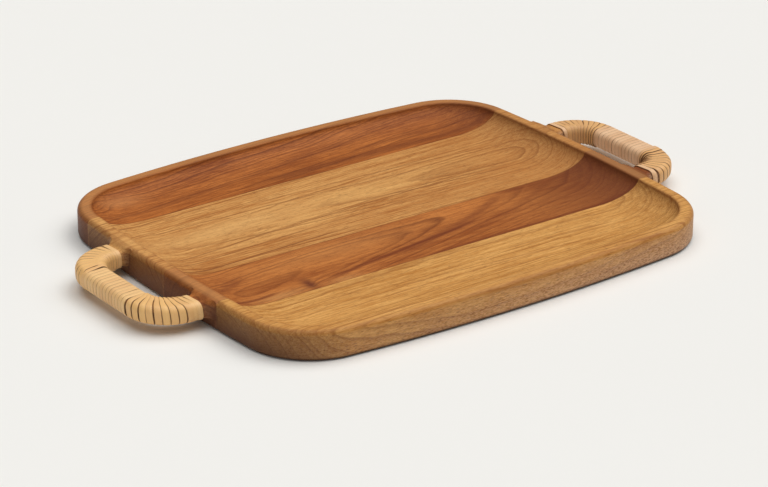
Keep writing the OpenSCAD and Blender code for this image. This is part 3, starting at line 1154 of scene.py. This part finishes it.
def cane_wrap(name, tree, finish, turned, bare, own):
    values = {
        "Turns": TURNS + FLAT_SHARE,
        "Strip Width": CANE_W,
        "Strip Thickness": CANE_T - CANE_PLAY,
        "Clearance": CANE_CLEAR,
        "Grip Width": GRIP_W,
        "Grip Height": GRIP_H,
        "Grip Round": GRIP_ROUND,
        "Bend Radius": BEND_R,
        "Neck Length": NECK_L,
        "Outer Fillet": OUTER_FILLET,
        "Inner Fillet": INNER_FILLET,
        "Neck Swell": NECK_SWELL,
        "Bar Length": BAR_L,
        "Start": (NECK_X, NECK_Y, GRIP_RISE),
        "Finish": finish,
    }
    values.update(own)
    values["Pitch"], values["First Turn"] = wound_from(bare)
    wrap = grown(name, tree, values)
    if turned:
        points = np.empty(len(wrap.data.vertices) * 3, np.float32)
        wrap.data.vertices.foreach_get("co", points)
        points.reshape(-1, 3)[:, :2] *= -1
        wrap.data.vertices.foreach_set("co", points)
        wrap.data.update()
    if volume_of(wrap.data) < 0:
        wrap.data.flip_normals()
    return wrap


def finish_wraps():
    tree = wound_cane()
    right = cane_wrap("right_handle_cane", tree, right_cane_finish(), False, RIGHT_BARE_NECK, {
        "Lap Place": NECK_L + BEND_L + BAR_L - 2.0, "Lap Lift": 1.1, "Slant": -3.2, "Seed": 4.0,
        "Looseness": 0.34, "Strip Width": RIGHT_CANE_W,
    })
    left = cane_wrap("left_handle_cane", tree, left_cane_finish(), True, BARE_NECK, {
        "Lap Place": NECK_L + BEND_L + BAR_L + 1.0, "Lap Lift": 0.9, "Slant": -4.2, "Seed": 11.0,
        "Looseness": 0.3,
    })
    for piece, node in ((right, "right_cane_wrap"), (left, "left_cane_wrap")):
        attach(piece, "root")
        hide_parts(node)


# ---- Brads ----

def brad_steel():
    """Small brass-washed steel heads with fine scratches."""
    finish, web, shader, place = new_finish("brad_metal")
    scratches = web.noise(web.stretch(place, (9000.0, 1500.0, 1500.0)), detail=2.0)
    blotches = web.noise(web.stretch(place, (1800.0, 1800.0, 1800.0)), detail=2.0)
    colour = web.blend(web.span(blotches, 0.4, 0.7), paint(196, 160, 96), paint(132, 98, 56))
    web.feed(shader.inputs["Base Color"], colour)
    web.feed(shader.inputs["Roughness"], web.span(scratches, 0.3, 0.7, 0.25, 0.5))
    shader.inputs["Metallic"].default_value = 1.0
    web.relief(shader, scratches, 0.2, 0.0001)
    return finish


def brad_rings(sides=20):
    """One brad, head down: a domed head, a plain shank and a point."""
    profile = [(0.15, -BRAD_HEAD_T), (0.7, -BRAD_HEAD_T * 0.95), (1.1, -BRAD_HEAD_T * 0.75)]
    profile += [(BRAD_HEAD_D / 2 - 0.05, -BRAD_HEAD_T * 0.4), (BRAD_HEAD_D / 2, -BRAD_HEAD_T * 0.2)]
    profile += [(BRAD_HEAD_D / 2 - 0.05, 0.0), (BRAD_D / 2 + 0.1, 0.0), (BRAD_D / 2, 0.15)]
    profile += [(BRAD_D / 2, BRAD_L - 1.4), (0.1, BRAD_L)]
    angles = np.arange(sides) * 2 * math.pi / sides
    across, aside = np.cos(angles), np.sin(angles)
    return [np.stack([r * across, r * aside, np.full(sides, z)], axis=1) for r, z in profile]


def set_brads():
    """Geometry nodes: the same brad set at every point of a start mesh."""
    web, given, result = new_group(
        "set_brads",
        "GeometryNodeTree",
        {"Geometry": ("Geometry", None), "Brad": ("Object", None), "Finish": ("Material", None)},
        {"Geometry": ("Geometry", None)},
    )
    pattern = web.node("GeometryNodeObjectInfo")
    web.feed(pattern.inputs[0], given["Brad"])
    put = web.node("GeometryNodeInstanceOnPoints")
    web.feed(put.inputs["Points"], given["Geometry"])
    web.feed(put.inputs["Instance"], pattern.outputs["Geometry"])
    web.coat(put.outputs[0], given["Finish"], result[0])
    return web.tree


def brad_places():
    seat = GRIP_RISE - GRIP_H / 2 - CANE_CLEAR - CANE_T
    places = []
    for bare, side in ((RIGHT_BARE_NECK, 1), (BARE_NECK, -1)):
        pitch, first_turn = wound_from(bare)
        for turn in (FLAT_SHARE / 2, TURNS + FLAT_SHARE / 2):
            x, y, _ = on_grip(first_turn + pitch * turn, 0, 0)
            places.append((side * x * MM, side * y * MM, seat * MM))
    return places


def finish_brads():
    pattern = skin("brad_pattern", brad_rings())
    start = bpy.data.meshes.new("brad_points")
    start.from_pydata(brad_places(), [], [])
    brads = grown("brads", set_brads(), {"Brad": pattern, "Finish": brad_steel()}, start)
    bpy.data.objects.remove(pattern)
    brads.data.shade_smooth()
    brads.data.set_sharp_from_angle(angle=math.radians(50))
    if volume_of(brads.data) < 0:
        brads.data.flip_normals()
    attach(brads, "root")
    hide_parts("cane_brads")


# ---- Floor, light and camera ----

FLOOR_HALF = 6.0
KEY_FROM = (0.78, -0.22, 1.0)
KEY_STRENGTH = 0.95
KEY_SPREAD = 50
OVERHEAD_FROM = (0.12, 0.0, 1.0)
OVERHEAD_STRENGTH = 2.0
OVERHEAD_SPREAD = 75
FILL_FROM = (-0.75, -0.55, 0.4)
FILL_STRENGTH = 0.4
FILL_SPREAD = 60
SKY = 0.1


def pale_floor():
    """Plain matt studio floor with a barely visible mottle."""
    finish, web, shader, place = new_finish("studio_floor")
    mottle = web.noise(web.stretch(place, (3.0, 3.0, 3.0)), detail=2.0)
    colour = web.blend(web.span(mottle, 0.3, 0.7), (0.873, 0.865, 0.833, 1), (0.869, 0.861, 0.829, 1))
    web.feed(shader.inputs["Base Color"], colour)
    shader.inputs["Roughness"].default_value = 0.9
    shader.inputs["Specular IOR Level"].default_value = 0.0
    corners = [(-1, -1, 0), (1, -1, 0), (1, 1, 0), (-1, 1, 0)]
    mesh = bpy.data.meshes.new("studio_floor")
    mesh.from_pydata([[FLOOR_HALF * c for c in corner] for corner in corners], [], [[0, 1, 2, 3]])
    mesh.materials.append(finish)
    floor = placed("studio_floor", mesh)


def lamp(name, strength, spread, colour, come_from):
    light = bpy.data.lights.new(name, "SUN")
    light.energy = strength
    light.angle = math.radians(spread)
    light.color = colour
    made = bpy.data.objects.new(name, light)
    made.rotation_euler = Vector(come_from).to_track_quat("Z", "Y").to_euler()
    bpy.context.scene.collection.objects.link(made)


def studio_light():
    """A very broad light overhead, a key from the right, a weak fill from the left and a dim surround."""
    lamp("overhead", OVERHEAD_STRENGTH, OVERHEAD_SPREAD, (1.0, 0.995, 0.99), OVERHEAD_FROM)
    lamp("key", KEY_STRENGTH, KEY_SPREAD, (1.0, 0.99, 0.98), KEY_FROM)
    lamp("fill", FILL_STRENGTH, FILL_SPREAD, (0.96, 0.98, 1.0), FILL_FROM)
    world = bpy.data.worlds.new("surround")
    world.use_nodes = True
    world.node_tree.nodes["Background"].inputs["Color"].default_value = (0.99, 0.995, 1.0, 1)
    world.node_tree.nodes["Background"].inputs["Strength"].default_value = SKY
    bpy.context.scene.world = world
    bpy.context.scene.view_settings.view_transform = "Standard"


VIEW_AZIMUTH = -35.8
VIEW_ELEVATION = 23.66
VIEW_DISTANCE = 2.3165
VIEW_TARGET = (-0.0121, -0.0155, 0.0)
VIEW_LENS = 144.8


def studio_camera():
    a = math.radians(VIEW_AZIMUTH)
    e = math.radians(VIEW_ELEVATION)
    away = Vector((math.sin(a) * math.cos(e), -math.cos(a) * math.cos(e), math.sin(e)))
    lens = bpy.data.cameras.new("camera")
    lens.lens = VIEW_LENS
    lens.sensor_width = 36.0
    lens.sensor_fit = "HORIZONTAL"
    lens.clip_start = 0.1
    lens.clip_end = 50.0
    camera = bpy.data.objects.new("camera", lens)
    camera.location = Vector(VIEW_TARGET) + away * VIEW_DISTANCE
    camera.rotation_euler = away.to_track_quat("Z", "Y").to_euler()
    bpy.context.scene.collection.objects.link(camera)
    bpy.context.scene.camera = camera


finish_staves()
finish_wraps()
finish_brads()
pale_floor()
studio_light()
studio_camera()
